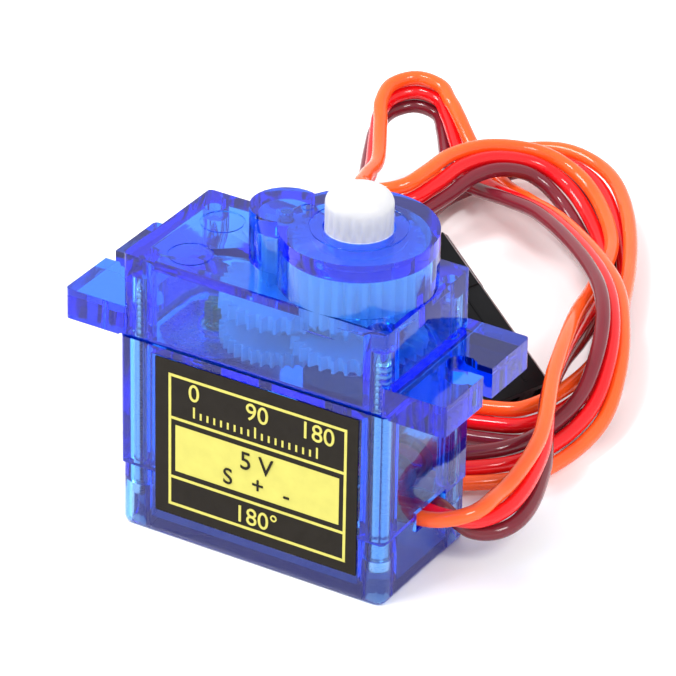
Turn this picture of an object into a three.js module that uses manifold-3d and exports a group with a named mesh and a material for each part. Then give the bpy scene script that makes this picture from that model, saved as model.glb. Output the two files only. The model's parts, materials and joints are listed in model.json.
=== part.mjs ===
// Micro hobby servo: a clear blue three-piece case, a nylon gear train, a small can motor,
// a position potentiometer, a control board and a three-wire lead with its connector.
// Millimetres, +Z up. The origin is at the bottom centre of the case, the output shaft is
// towards +X, the label faces -Y and the lead leaves the +X end.

import * as THREE from 'three';
import { mergeVertices } from 'three/addons/utils/BufferGeometryUtils.js';
import Module from 'manifold-3d';

// ---- driving dimensions ---------------------------------------------------------------

const CASE_LENGTH = 22.6;
const CASE_WIDTH = 12.1;
const COVER_LENGTH = 22.3;
const COVER_WIDTH = 11.7;
const CORNER_RADIUS = 0.35;
const WALL = 0.85;
const BASE_TOP = 5.2;
const DECK_TOP = 15.9;
const EAR_TOP = 18.4;
const ROOF_TOP = 22.7;
const BOSS_TOP = 27.0;
const SPLINE_TOP = 29.9;
const SKIN = 1.0;
const BOSS_SKIN = 1.6;
const INNER_RADIUS = 0.3;

const EAR_SPAN = 32.2;
const EAR_HOLE_X = 13.9;
const EAR_HOLE_RADIUS = 1.15;
const EAR_SLOT_WIDTH = 1.3;
const EAR_RELIEF = { reach: 0.15, depth: 0.15 };

const OUTPUT_X = 5.2;
const IDLER_X = -0.9;
const MOTOR_X = -6.3;
const BOSS_RADIUS = 5.85;
const SMALL_BOSS_RADIUS = 2.7;
const BOSS_WALL = 0.65;
const IDLER_PIN_TOP = BOSS_TOP - BOSS_SKIN + 0.3;

const SCREW_X = 10.1;
const SCREW_Y = 4.75;
const SCREW_RADIUS = 0.6;
const SCREW_HEAD_RADIUS = 0.9;
const SCREW_HEAD_LOW = 2.5;
const SCREW_HEAD_HIGH = 3.5;
const SCREW_TIP = 20.4;
const SCREW_HOLE_SPARE = 0.4;
const SCREW_CLEARANCE = 0.15;
const POST_RADIUS = 1.2;

const TRAIN_TEETH = [10, 30];
const TRAIN_MODULE = 2 * (OUTPUT_X - IDLER_X) / (TRAIN_TEETH[0] + TRAIN_TEETH[1]);
const PINION_TEETH = 8;
const FIRST_WHEEL_TEETH = 37;
const PINION_MODULE = 2 * (IDLER_X - MOTOR_X) / (PINION_TEETH + FIRST_WHEEL_TEETH);
const SPLINE_TEETH = 21;
const SPLINE_RADIUS = 2.5;

const IDLER_PIN_RADIUS = 0.5;
const POT_SHAFT_RADIUS = 0.8;
const MOTOR_SHAFT_RADIUS = 0.4;
const PINION_TOP = 17.7;
const POT_SHAFT_TOP = 22.3;
const RUNNING_GAP = 0.08;
const PRESS_GAP = 0.02;

// How far a cutting tool runs past the face that it cuts through.
const PAST = 1;

const WIRE_RADIUS = 0.5;
const WIRE_PITCH = 1.3;
const LEAD_Y = 0.8;
const LEAD_Z = 4.75;

// ---- solid modelling helpers ----------------------------------------------------------

const wasm = await Module();
wasm.setup();

// A closed three.js geometry as a manifold solid.
function toSolid(geometry) {
  const bare = geometry.clone();
  bare.deleteAttribute('normal');
  bare.deleteAttribute('uv');
  const merged = mergeVertices(bare.index ? bare.toNonIndexed() : bare, 1e-5);
  return new wasm.Manifold(new wasm.Mesh({
    numProp: 3,
    vertProperties: Float32Array.from(merged.attributes.position.array),
    triVerts: Uint32Array.from(merged.index.array),
  }));
}

// A manifold solid as a three.js geometry.
function toGeometry(solid) {
  const mesh = solid.getMesh();
  const geometry = new THREE.BufferGeometry();
  const positions = Float32Array.from(mesh.vertProperties);
  geometry.setAttribute('position', new THREE.BufferAttribute(positions, 3));
  geometry.setIndex(Array.from(mesh.triVerts));
  geometry.computeVertexNormals();
  return geometry;
}

function join(...solids) {
  return solids.reduce((total, next) => total.add(next));
}

function cut(body, ...tools) {
  return tools.reduce((left, tool) => left.subtract(tool), body);
}

// A flat outline pulled up from one height to another.
function prism(shape, low, high, curveSegments = 10) {
  const geometry = new THREE.ExtrudeGeometry(shape, {
    depth: high - low, bevelEnabled: false, curveSegments,
  });
  geometry.translate(0, 0, low);
  return toSolid(geometry);
}

function box(xRange, yRange, zRange) {
  const geometry = new THREE.BoxGeometry(
    xRange[1] - xRange[0], yRange[1] - yRange[0], zRange[1] - zRange[0]);
  geometry.translate(
    (xRange[0] + xRange[1]) / 2, (yRange[0] + yRange[1]) / 2, (zRange[0] + zRange[1]) / 2);
  return toSolid(geometry);
}

// A round bar, or a cone where the top radius differs, standing on (x, y).
function bar(x, y, radius, low, high, sides = 24, topRadius = radius) {
  const geometry = new THREE.CylinderGeometry(topRadius, radius, high - low, sides);
  geometry.rotateX(Math.PI / 2);
  geometry.translate(x, y, (low + high) / 2);
  return toSolid(geometry);
}

function ring(x, y, innerRadius, outerRadius, low, high, sides = 24) {
  const margin = 0.1;
  return cut(
    bar(x, y, outerRadius, low, high, sides),
    bar(x, y, innerRadius, low - margin, high + margin, sides));
}

function roundedRectangle(length, width, radius, centreX = 0) {
  const x = length / 2;
  const y = width / 2;
  const shape = new THREE.Shape();
  shape.absarc(centreX + x - radius, -y + radius, radius, -Math.PI / 2, 0, false);
  shape.absarc(centreX + x - radius, y - radius, radius, 0, Math.PI / 2, false);
  shape.absarc(centreX - x + radius, y - radius, radius, Math.PI / 2, Math.PI, false);
  shape.absarc(centreX - x + radius, -y + radius, radius, Math.PI, 1.5 * Math.PI, false);
  shape.closePath();
  return shape;
}

function mesh(name, solid, finish) {
  const node = new THREE.Mesh(
    solid.isBufferGeometry ? solid : toGeometry(solid),
    new THREE.MeshStandardMaterial(finish));
  node.name = name;
  return node;
}

// ---- finishes -------------------------------------------------------------------------

const CLEAR_BLUE = { color: 0x2a30e8, roughness: 0.12, metalness: 0 };
const NYLON = { color: 0xf1f2f6, roughness: 0.45, metalness: 0 };
const STEEL = { color: 0xb9bcc2, roughness: 0.25, metalness: 1 };
const BRASS = { color: 0xc9a14e, roughness: 0.3, metalness: 1 };
const COPPER = { color: 0xb8663a, roughness: 0.35, metalness: 1 };
const CAN_STEEL = { color: 0x9da2aa, roughness: 0.35, metalness: 1 };
const DARK_PLASTIC = { color: 0x16161a, roughness: 0.4, metalness: 0 };
const BOARD_GREEN = { color: 0x1d5a35, roughness: 0.5, metalness: 0 };
const FERRITE = { color: 0x3a3a3c, roughness: 0.7, metalness: 0 };
const CAPACITOR_YELLOW = { color: 0xd8a52a, roughness: 0.5, metalness: 0 };
const LABEL_BLACK = { color: 0x14130f, roughness: 0.45, metalness: 0 };
const WIRE_BROWN = { color: 0x7a2430, roughness: 0.3, metalness: 0 };
const WIRE_RED = { color: 0xe8161c, roughness: 0.3, metalness: 0 };
const WIRE_ORANGE = { color: 0xff6a2a, roughness: 0.3, metalness: 0 };

// ---- the case -------------------------------------------------------------------------

// The four screw places, named by the corner they stand in.
const CORNERS = [
  ['front_left', -SCREW_X, -SCREW_Y],
  ['front_right', SCREW_X, -SCREW_Y],
  ['back_left', -SCREW_X, SCREW_Y],
  ['back_right', SCREW_X, SCREW_Y],
];

function atCorners(make) {
  return CORNERS.map(([, x, y]) => make(x, y));
}

// The two-lobed outline of the raised boss over the output shaft and the idler pin.
function keyhole(low, high, inset = 0) {
  return join(
    bar(OUTPUT_X, 0, BOSS_RADIUS - inset, low, high, 56),
    bar(IDLER_X, 0, SMALL_BOSS_RADIUS - inset, low, high, 32));
}

// The mounting ear at one end with its keyhole-shaped screw slot. A shallow relief under its
// root keeps its underside clear of the middle case.
function ear(side) {
  const rootX = COVER_LENGTH / 2 - WALL / 2;
  const tipX = EAR_SPAN / 2;
  const reliefX = CASE_LENGTH / 2 + EAR_RELIEF.reach;
  const sorted = (...ends) => ends.map(x => side * x).sort((a, b) => a - b);
  const plate = prism(
    roundedRectangle(tipX - rootX, CASE_WIDTH, CORNER_RADIUS, side * (rootX + tipX) / 2),
    DECK_TOP, EAR_TOP, 3);
  return cut(
    plate,
    bar(side * EAR_HOLE_X, 0, EAR_HOLE_RADIUS, DECK_TOP - PAST, EAR_TOP + PAST, 28),
    box(sorted(EAR_HOLE_X, tipX + PAST), [-EAR_SLOT_WIDTH / 2, EAR_SLOT_WIDTH / 2],
      [DECK_TOP - PAST, EAR_TOP + PAST]),
    box(sorted(rootX - PAST, reliefX), [-CASE_WIDTH, CASE_WIDTH],
      [DECK_TOP - PAST, DECK_TOP + EAR_RELIEF.depth]));
}

function topCover() {
  const roofUnderside = ROOF_TOP - SKIN;
  const bossUnderside = BOSS_TOP - BOSS_SKIN;
  const outside = join(
    prism(roundedRectangle(COVER_LENGTH, COVER_WIDTH, CORNER_RADIUS), DECK_TOP, ROOF_TOP, 3),
    ear(-1), ear(1),
    keyhole(roofUnderside, BOSS_TOP));
  const gearSpace = cut(
    prism(
      roundedRectangle(COVER_LENGTH - 2 * WALL, COVER_WIDTH - 2 * WALL, INNER_RADIUS),
      DECK_TOP - PAST, roofUnderside, 2),
    ...atCorners((x, y) => bar(x, y, POST_RADIUS, DECK_TOP - 2 * PAST, ROOF_TOP, 20)));
  const holeGap = 0.05;
  return cut(
    outside,
    gearSpace,
    keyhole(roofUnderside - PAST, bossUnderside, BOSS_WALL),
    bar(OUTPUT_X, 0, SPLINE_RADIUS + holeGap + RUNNING_GAP, bossUnderside - PAST,
      BOSS_TOP + PAST, 48),
    bar(IDLER_X, 0, IDLER_PIN_RADIUS + PRESS_GAP, bossUnderside - PAST, IDLER_PIN_TOP + holeGap, 20),
    ...atCorners((x, y) => bar(x, y, SCREW_RADIUS + holeGap, DECK_TOP - PAST,
      SCREW_TIP + SCREW_HOLE_SPARE, 16)));
}

function leadNotch(low, high) {
  const halfWidth = WIRE_PITCH + 0.8;
  return box(
    [CASE_LENGTH / 2 - 2 * WALL, CASE_LENGTH / 2 + PAST],
    [LEAD_Y - halfWidth, LEAD_Y + halfWidth],
    [low, high]);
}

function middleCase() {
  const deckUnderside = DECK_TOP - SKIN;
  const hollow = cut(
    prism(
      roundedRectangle(CASE_LENGTH - 2 * WALL, CASE_WIDTH - 2 * WALL, INNER_RADIUS),
      BASE_TOP - PAST, deckUnderside, 2),
    ...atCorners((x, y) => bar(x, y, POST_RADIUS, BASE_TOP - 2 * PAST, DECK_TOP, 20)));
  const bearingHoleRadius = 1.6;
  const shaftHoleRadius = POT_SHAFT_RADIUS + 0.25;
  const notchTop = LEAD_Z + 0.85;
  const deckHole = (x, radius, sides) => bar(
    x, 0, radius, deckUnderside - PAST, DECK_TOP + PAST, sides);
  return cut(
    prism(roundedRectangle(CASE_LENGTH, CASE_WIDTH, CORNER_RADIUS), BASE_TOP, DECK_TOP, 3),
    hollow,
    deckHole(MOTOR_X, bearingHoleRadius, 28),
    deckHole(OUTPUT_X, shaftHoleRadius, 24),
    deckHole(IDLER_X, IDLER_PIN_RADIUS + PRESS_GAP, 20),
    leadNotch(BASE_TOP - PAST, notchTop),
    ...atCorners((x, y) => bar(x, y, SCREW_RADIUS + SCREW_CLEARANCE, BASE_TOP - PAST,
      DECK_TOP + PAST, 16)));
}

function bottomCover() {
  const edge = 0.45;
  const floorTop = SKIN;
  const notchFloor = LEAD_Z - 0.7;
  const postRadius = POST_RADIUS + 0.1;
  const headRoom = 0.06;
  const shellOutline = roundedRectangle(
    CASE_LENGTH - 2 * edge, CASE_WIDTH - 2 * edge, CORNER_RADIUS);
  const shell = new THREE.ExtrudeGeometry(shellOutline, {
    depth: BASE_TOP, bevelEnabled: true, bevelThickness: edge, bevelSize: edge,
    bevelSegments: 3, curveSegments: 3,
  });
  shell.translate(0, 0, edge);
  const half = CASE_LENGTH;
  const outside = cut(toSolid(shell), box([-half, half], [-half, half], [BASE_TOP, 2 * half]));
  const hollow = cut(
    prism(
      roundedRectangle(CASE_LENGTH - 2 * WALL, CASE_WIDTH - 2 * WALL, INNER_RADIUS),
      floorTop, BASE_TOP + PAST, 2),
    ...atCorners((x, y) => bar(x, y, postRadius, floorTop - PAST, BASE_TOP + 2 * PAST, 20)));
  return cut(
    outside,
    hollow,
    leadNotch(notchFloor, BASE_TOP + PAST),
    ...atCorners((x, y) => bar(x, y, SCREW_RADIUS + SCREW_CLEARANCE, SCREW_HEAD_HIGH - PAST,
      BASE_TOP + PAST, 16)),
    ...atCorners((x, y) => bar(x, y, SCREW_HEAD_RADIUS + headRoom, -PAST, SCREW_HEAD_HIGH, 20)));
}

// A pan-head screw driven up from below, with a cross recess and a pointed tip.
function caseScrew(x, y) {
  const rimHeight = 0.25;
  const pointLength = 0.8;
  const pointRadius = 0.15;
  const shankLow = SCREW_HEAD_LOW + 0.8;
  const headTop = SCREW_HEAD_HIGH - 0.02;
  const recess = { depth: 0.6, half: 0.14, reach: 0.55 };
  const recessSlot = (halfX, halfY) => box(
    [x - halfX, x + halfX], [y - halfY, y + halfY],
    [SCREW_HEAD_LOW - PAST, SCREW_HEAD_LOW + recess.depth]);
  return cut(
    join(
      bar(x, y, 0.85 * SCREW_HEAD_RADIUS, SCREW_HEAD_LOW, SCREW_HEAD_LOW + rimHeight, 20,
        SCREW_HEAD_RADIUS),
      bar(x, y, SCREW_HEAD_RADIUS, SCREW_HEAD_LOW + rimHeight, headTop, 20),
      bar(x, y, SCREW_RADIUS, shankLow, SCREW_TIP - pointLength, 16),
      bar(x, y, SCREW_RADIUS, SCREW_TIP - pointLength, SCREW_TIP, 16, pointRadius)),
    recessSlot(recess.reach, recess.half),
    recessSlot(recess.half, recess.reach));
}

// The sticker on the long front face.
const LABEL = { xRange: [-8.2, 9.1], zRange: [2.1, 15.2], thickness: 0.12 };

function frontLabel() {
  const face = -CASE_WIDTH / 2;
  return box(LABEL.xRange, [face - LABEL.thickness, face], LABEL.zRange);
}

// ---- gears ----------------------------------------------------------------------------

// The tooth form, as parts of the module and of the angle from tooth to tooth.
const TOOTH = { addendum: 0.8, dedendum: 1.05, rootHalf: 0.31, tipHalf: 0.1 };

// A spur gear outline with straight-sided teeth. The first tooth points along the phase.
function gearOutline(x, teeth, module, phase) {
  const pitchRadius = teeth * module / 2;
  const tipRadius = pitchRadius + TOOTH.addendum * module;
  const rootRadius = pitchRadius - TOOTH.dedendum * module;
  const step = 2 * Math.PI / teeth;
  const shape = new THREE.Shape();
  for (let tooth = 0; tooth < teeth; tooth += 1) {
    const middle = phase + tooth * step;
    const corners = [
      [rootRadius, -TOOTH.rootHalf],
      [tipRadius, -TOOTH.tipHalf],
      [tipRadius, TOOTH.tipHalf],
      [rootRadius, TOOTH.rootHalf],
    ];
    corners.forEach(([radius, part], index) => {
      const angle = middle + part * step;
      const move = tooth === 0 && index === 0 ? 'moveTo' : 'lineTo';
      shape[move](x + radius * Math.cos(angle), radius * Math.sin(angle));
    });
  }
  shape.closePath();
  return shape;
}

function gear(x, teeth, module, phase, low, high) {
  return prism(gearOutline(x, teeth, module, phase), low, high);
}

// Phases: a tooth of one gear faces a gap of the other on the line between their axes.
const gapTowardsMinusX = teeth => Math.PI + Math.PI / teeth;

function idlerBore(low, high) {
  return bar(IDLER_X, 0, IDLER_PIN_RADIUS + RUNNING_GAP, low - PAST, high + PAST, 20);
}

const LEVEL = {
  firstWheel: [16.2, 17.3],
  secondWheel: [17.6, 18.7],
  thirdWheel: [19.1, 20.3],
  outputWheel: [20.8, 25.1],
};

// How far a pinion runs into its wheel, so that the two are one moulding.
const ROOTED = 0.05;

function firstGear() {
  const top = LEVEL.thirdWheel[0] - 0.2;
  return cut(
    join(
      gear(IDLER_X, FIRST_WHEEL_TEETH, PINION_MODULE, gapTowardsMinusX(FIRST_WHEEL_TEETH),
        ...LEVEL.firstWheel),
      gear(IDLER_X, TRAIN_TEETH[0], TRAIN_MODULE, 0, LEVEL.firstWheel[1] - ROOTED, top)),
    idlerBore(LEVEL.firstWheel[0], top));
}

function secondGear() {
  const top = LEVEL.outputWheel[0] - 0.3;
  return cut(
    join(
      gear(OUTPUT_X, TRAIN_TEETH[1], TRAIN_MODULE, gapTowardsMinusX(TRAIN_TEETH[1]),
        ...LEVEL.secondWheel),
      gear(OUTPUT_X, TRAIN_TEETH[0], TRAIN_MODULE, Math.PI, LEVEL.secondWheel[1] - ROOTED, top)),
    bar(OUTPUT_X, 0, POT_SHAFT_RADIUS + RUNNING_GAP, LEVEL.secondWheel[0] - PAST, top + PAST, 24));
}

function thirdGear() {
  const top = LEVEL.outputWheel[1] - 0.3;
  const gapTowardsPlusX = Math.PI / TRAIN_TEETH[1];
  return cut(
    join(
      gear(IDLER_X, TRAIN_TEETH[1], TRAIN_MODULE, gapTowardsPlusX, ...LEVEL.thirdWheel),
      gear(IDLER_X, TRAIN_TEETH[0], TRAIN_MODULE, 0, LEVEL.thirdWheel[1] - ROOTED, top)),
    idlerBore(LEVEL.thirdWheel[0], top));
}

// The toothed drum, its collar under the boss roof and the splined stub, in one moulding.
function outputGear() {
  const collarRadius = 3.5;
  const collarTop = BOSS_TOP - BOSS_SKIN - 0.1;
  const splineModule = 0.22;
  const crown = 0.65;
  const crownSteps = 5;
  const crownProfile = [
    new THREE.Vector2(0, BOSS_TOP - PAST),
    new THREE.Vector2(SPLINE_RADIUS, BOSS_TOP - PAST),
  ];
  for (let step = 0; step <= crownSteps; step += 1) {
    const angle = step * Math.PI / 2 / crownSteps;
    crownProfile.push(new THREE.Vector2(
      SPLINE_RADIUS - crown * (1 - Math.cos(angle)), SPLINE_TOP - crown * (1 - Math.sin(angle))));
  }
  crownProfile.push(new THREE.Vector2(0, SPLINE_TOP));
  const crownBody = new THREE.LatheGeometry(crownProfile, 40);
  crownBody.rotateX(Math.PI / 2);
  crownBody.translate(OUTPUT_X, 0, 0);
  const shaftSocketTop = POT_SHAFT_TOP + 0.1;
  return cut(
    join(
      gear(OUTPUT_X, TRAIN_TEETH[1], TRAIN_MODULE, gapTowardsMinusX(TRAIN_TEETH[1]),
        ...LEVEL.outputWheel),
      bar(OUTPUT_X, 0, collarRadius, LEVEL.outputWheel[1] - ROOTED, collarTop, 40),
      bar(OUTPUT_X, 0, SPLINE_RADIUS, LEVEL.outputWheel[1], BOSS_TOP + ROOTED, 48),
      gear(OUTPUT_X, SPLINE_TEETH, splineModule, 0, BOSS_TOP, SPLINE_TOP).intersect(
        toSolid(crownBody))),
    bar(OUTPUT_X, 0, POT_SHAFT_RADIUS + PRESS_GAP, LEVEL.outputWheel[0] - PAST, shaftSocketTop, 24));
}

function motorPinion() {
  const [low] = LEVEL.firstWheel;
  return cut(
    gear(MOTOR_X, PINION_TEETH, PINION_MODULE, 0, low, PINION_TOP),
    bar(MOTOR_X, 0, MOTOR_SHAFT_RADIUS + PRESS_GAP, low - PAST, PINION_TOP + PAST, 16));
}

function idlerPin() {
  const low = DECK_TOP - SKIN + 0.05;
  return bar(IDLER_X, 0, IDLER_PIN_RADIUS, low, IDLER_PIN_TOP, 20);
}

// ---- the motor ------------------------------------------------------------------------

const CAN = {
  low: 3.4, high: 14.8, radius: 4.5, halfThickness: 3.9, wall: 0.3, noseRadius: 1.5, boreRadius: 1.1,
};
const END_CAP = { low: CAN.low - 0.9, rim: 0.2, plugTop: CAN.low + 0.6, fit: 0.05 };
const TERMINAL = {
  y: 3, halfWidth: 0.6, halfThickness: 0.15, slotGap: 0.05, below: 2.1, above: 1.2,
};
const COMMUTATOR = { low: CAN.low + 0.65, high: CAN.low + 2.2, radius: 0.85 };
const ROTOR = { low: 6.6, high: 12.6, poles: 3, hubRadius: 1.15, radius: 2.85, rim: 0.4 };

// A round outline with two flats across it.
function flattenedRound(radius, halfThickness, low, high) {
  const reach = 2 * radius;
  return bar(MOTOR_X, 0, radius, low, high, 40).intersect(
    box([MOTOR_X - halfThickness, MOTOR_X + halfThickness], [-reach, reach],
      [low - PAST, high + PAST]));
}

// The drawn steel can, open below, with a round nose for the bearing on top.
function motorCan() {
  return join(
    cut(
      flattenedRound(CAN.radius, CAN.halfThickness, CAN.low, CAN.high),
      flattenedRound(CAN.radius - CAN.wall, CAN.halfThickness - CAN.wall,
        CAN.low - PAST, CAN.high - CAN.wall),
      bar(MOTOR_X, 0, CAN.boreRadius, CAN.high - PAST, CAN.high + PAST, 28)),
    ring(MOTOR_X, 0, CAN.boreRadius, CAN.noseRadius, CAN.high - 0.1, DECK_TOP - 0.1, 28));
}

function motorBearing() {
  return ring(MOTOR_X, 0, MOTOR_SHAFT_RADIUS + 0.05, CAN.boreRadius - 0.03,
    CAN.high - CAN.wall, DECK_TOP - 0.3, 24);
}

// The nylon cap that closes the can, with a bearing pocket and two slots for the terminals.
function motorEndCap() {
  const { low, rim, plugTop, fit } = END_CAP;
  const plate = flattenedRound(CAN.radius, CAN.halfThickness, low, CAN.low - PRESS_GAP);
  const plug = flattenedRound(
    CAN.radius - CAN.wall - fit, CAN.halfThickness - CAN.wall - fit, low + rim, plugTop);
  const halfSlot = TERMINAL.halfThickness + TERMINAL.slotGap;
  const slots = [-1, 1].map(side => box(
    [MOTOR_X - TERMINAL.halfWidth - halfSlot, MOTOR_X + TERMINAL.halfWidth + halfSlot],
    [side * TERMINAL.y - halfSlot, side * TERMINAL.y + halfSlot],
    [low - PAST, plugTop + PAST]));
  return cut(
    join(plate, plug),
    bar(MOTOR_X, 0, MOTOR_SHAFT_RADIUS + fit, low + rim, plugTop + PAST, 16),
    ...slots);
}

function motorTerminal(side) {
  const { y, halfWidth, halfThickness } = TERMINAL;
  return box(
    [MOTOR_X - halfWidth, MOTOR_X + halfWidth],
    [side * y - halfThickness, side * y + halfThickness],
    [CAN.low - TERMINAL.below, CAN.low + TERMINAL.above]);
}

// A carbon-silver brush that leans from its terminal to the commutator.
function motorBrush(side) {
  const halfWidth = 0.3;
  const near = side * (COMMUTATOR.radius + 0.1);
  const far = side * (TERMINAL.y - TERMINAL.halfThickness - 0.05);
  return box(
    [MOTOR_X - halfWidth, MOTOR_X + halfWidth],
    [Math.min(near, far), Math.max(near, far)],
    [CAN.low + 0.8, CAN.low + 1.1]);
}

// One of the two curved ferrite magnets inside the can.
function motorMagnet(side) {
  const low = CAN.low + 2;
  const high = CAN.high - 0.8;
  const outer = CAN.radius - CAN.wall - 0.05;
  const thickness = 1.1;
  const halfWidth = CAN.halfThickness - CAN.wall - 0.3;
  const nearY = side * 1.6;
  const farY = side * 2 * CAN.radius;
  return cut(
    bar(MOTOR_X, 0, outer, low, high, 40),
    bar(MOTOR_X, 0, outer - thickness, low - PAST, high + PAST, 40),
  ).intersect(box(
    [MOTOR_X - halfWidth, MOTOR_X + halfWidth],
    [Math.min(nearY, farY), Math.max(nearY, farY)],
    [low - PAST, high + PAST]));
}

// A block centred on the middle of the rotor, moved out along a direction from the shaft.
function rotorBlock(length, width, height, distance, angle) {
  const block = new THREE.BoxGeometry(length, width, height);
  block.translate(distance, 0, 0);
  block.rotateZ(angle);
  block.translate(MOTOR_X, 0, (ROTOR.low + ROTOR.high) / 2);
  return toSolid(block);
}

const poleAngle = pole => pole * 2 * Math.PI / ROTOR.poles;

// The laminated core: a hub with three T-shaped poles.
function armatureCore() {
  const height = ROTOR.high - ROTOR.low;
  const stemLength = 2;
  const bladeWidth = 0.7;
  const poles = Array.from({ length: ROTOR.poles }, (_, pole) => poleAngle(pole));
  const stems = poles.map(angle => rotorBlock(stemLength, bladeWidth, height, 1.6, angle));
  const gaps = poles.map(angle => rotorBlock(
    ROTOR.radius, bladeWidth, height + 2 * PAST, ROTOR.radius, angle + Math.PI / ROTOR.poles));
  const hub = bar(MOTOR_X, 0, ROTOR.hubRadius, ROTOR.low, ROTOR.high, 24);
  const rim = ring(MOTOR_X, 0, ROTOR.radius - ROTOR.rim, ROTOR.radius, ROTOR.low, ROTOR.high, 48);
  return cut(
    join(hub, cut(rim, ...gaps), ...stems),
    bar(MOTOR_X, 0, MOTOR_SHAFT_RADIUS + PRESS_GAP, ROTOR.low - PAST, ROTOR.high + PAST, 16));
}

// The copper coil around one pole: a loop that stands proud of the core's ends.
function armatureCoil(pole) {
  const height = ROTOR.high - ROTOR.low;
  const coil = { length: 0.9, width: 1.7, overhang: 0.55, distance: 1.85 };
  const core = { length: 2, width: 0.78, gap: 0.04 };
  const angle = poleAngle(pole);
  return cut(
    rotorBlock(coil.length, coil.width, height + 2 * coil.overhang, coil.distance, angle),
    rotorBlock(core.length, core.width, height + 2 * core.gap, coil.distance, angle));
}

function commutator() {
  return ring(MOTOR_X, 0, MOTOR_SHAFT_RADIUS + PRESS_GAP, COMMUTATOR.radius,
    COMMUTATOR.low, COMMUTATOR.high, 24);
}

function motorShaft() {
  const low = END_CAP.low + END_CAP.rim + 0.15;
  return bar(MOTOR_X, 0, MOTOR_SHAFT_RADIUS, low, PINION_TOP + 0.1, 16);
}

// ---- the potentiometer ----------------------------------------------------------------

const POT = { low: 10.9, high: DECK_TOP - SKIN - 0.05, radius: 3.7, wall: 0.5, roof: 0.6 };
const TRACK = { low: POT.low + 0.05, thickness: 0.6, radius: POT.radius - POT.wall - 0.05 };

// The round housing, open below, with its shaft hole on top.
function potHousing() {
  return cut(
    bar(OUTPUT_X, 0, POT.radius, POT.low, POT.high, 40),
    bar(OUTPUT_X, 0, POT.radius - POT.wall, POT.low - PAST, POT.high - POT.roof, 40),
    bar(OUTPUT_X, 0, POT_SHAFT_RADIUS + 0.05, POT.high - PAST, POT.high + PAST, 24));
}

// The round plate that carries the resistive track.
function potElement() {
  return bar(OUTPUT_X, 0, TRACK.radius, TRACK.low, TRACK.low + TRACK.thickness, 40);
}

// The ring on the shaft with the arm and finger that run on the track.
function potWiper() {
  const ringLow = POT.low + 1.2;
  const ringRadius = 1.35;
  const arm = { start: 0.9, end: 2.6, halfWidth: 0.4, thickness: 0.3 };
  const finger = { length: 0.4, low: TRACK.low + TRACK.thickness + 0.1 };
  const across = [-arm.halfWidth, arm.halfWidth];
  return join(
    ring(OUTPUT_X, 0, POT_SHAFT_RADIUS + PRESS_GAP, ringRadius, ringLow, ringLow + 0.6, 24),
    box([OUTPUT_X + arm.start, OUTPUT_X + arm.end], across, [ringLow, ringLow + arm.thickness]),
    box([OUTPUT_X + arm.end - finger.length, OUTPUT_X + arm.end], across,
      [finger.low, ringLow + ROOTED]));
}

function potShaft() {
  return bar(OUTPUT_X, 0, POT_SHAFT_RADIUS, POT.low + 0.95, POT_SHAFT_TOP, 24);
}

const POT_TAB = { y: [-1.5, 0, 1.5], near: 1.6, far: 2.1, halfWidth: 0.3, drop: 0.9 };

// A solder tab under the track plate.
function potTab(y) {
  return box(
    [OUTPUT_X + POT_TAB.near, OUTPUT_X + POT_TAB.far],
    [y - POT_TAB.halfWidth, y + POT_TAB.halfWidth],
    [POT.low - POT_TAB.drop, TRACK.low - 0.03]);
}

// ---- the control board ----------------------------------------------------------------

const BOARD = { low: 3.2, high: 4.0, xRange: [-1.9, 8.3], yRange: [-4.3, 4.3] };

function controlBoard() {
  return box(BOARD.xRange, BOARD.yRange, [BOARD.low, BOARD.high]);
}

function controlChip() {
  const thickness = 1;
  return box([0.8, 5.2], [-2, 2], [BOARD.low - thickness, BOARD.low]);
}

function smoothingCapacitor() {
  const height = 1.5;
  return box([-1.2, 1.2], [1.6, 3.4], [BOARD.high, BOARD.high + height]);
}

// ---- wires inside the case ------------------------------------------------------------

// A round wire of the given radius along a curve, one step of the mesh per even step of t.
function wireAlong(curve, radius, steps) {
  const sides = 8;
  const section = new THREE.Shape();
  for (let side = 0; side < sides; side += 1) {
    const angle = side * 2 * Math.PI / sides;
    const move = side === 0 ? 'moveTo' : 'lineTo';
    section[move](radius * Math.cos(angle), radius * Math.sin(angle));
  }
  section.closePath();
  return toSolid(new THREE.ExtrudeGeometry(section, { steps, extrudePath: curve }));
}

function shortLead(points, radius) {
  const corners = points.map(([x, y, z]) => new THREE.Vector3(x, y, z));
  const stepsPerPoint = 3;
  return wireAlong(
    new THREE.CatmullRomCurve3(corners, false, 'centripetal'), radius,
    stepsPerPoint * (points.length - 1));
}

// From a potentiometer tab, round in a loop by the end wall and down to the board.
function potLead(tabY) {
  const spreadY = 1.5 * tabY;
  const radius = 0.35;
  return shortLead([
    [7.0, tabY, 9.5],
    [8.3, spreadY, 9.3],
    [9.5, spreadY, 8.2],
    [9.3, spreadY, 7.0],
    [8.1, spreadY, 6.3],
    [7.1, spreadY, 5.5],
    [6.9, spreadY, BOARD.high + radius + 0.1],
  ], radius);
}

// From a motor terminal along the floor and up to the underside of the board.
function motorLead(side) {
  const y = side * TERMINAL.y;
  const radius = 0.3;
  return shortLead([
    [MOTOR_X + 0.9, y, 1.7],
    [MOTOR_X + 2.6, y, 1.5],
    [MOTOR_X + 4.2, y, 1.7],
    [MOTOR_X + 5.4, y, BOARD.low - radius - 0.15],
  ], radius);
}

// ---- the lead: three bonded wires and their connector ----------------------------------

const CONNECTOR = {
  length: 15.0, width: 7.6, thickness: 2.6,
  mouth: new THREE.Vector3(5.6, 23.2, 1.14),
  heading: THREE.MathUtils.degToRad(-20),
  incline: THREE.MathUtils.degToRad(30),
  pitch: 2.54,
};

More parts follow.
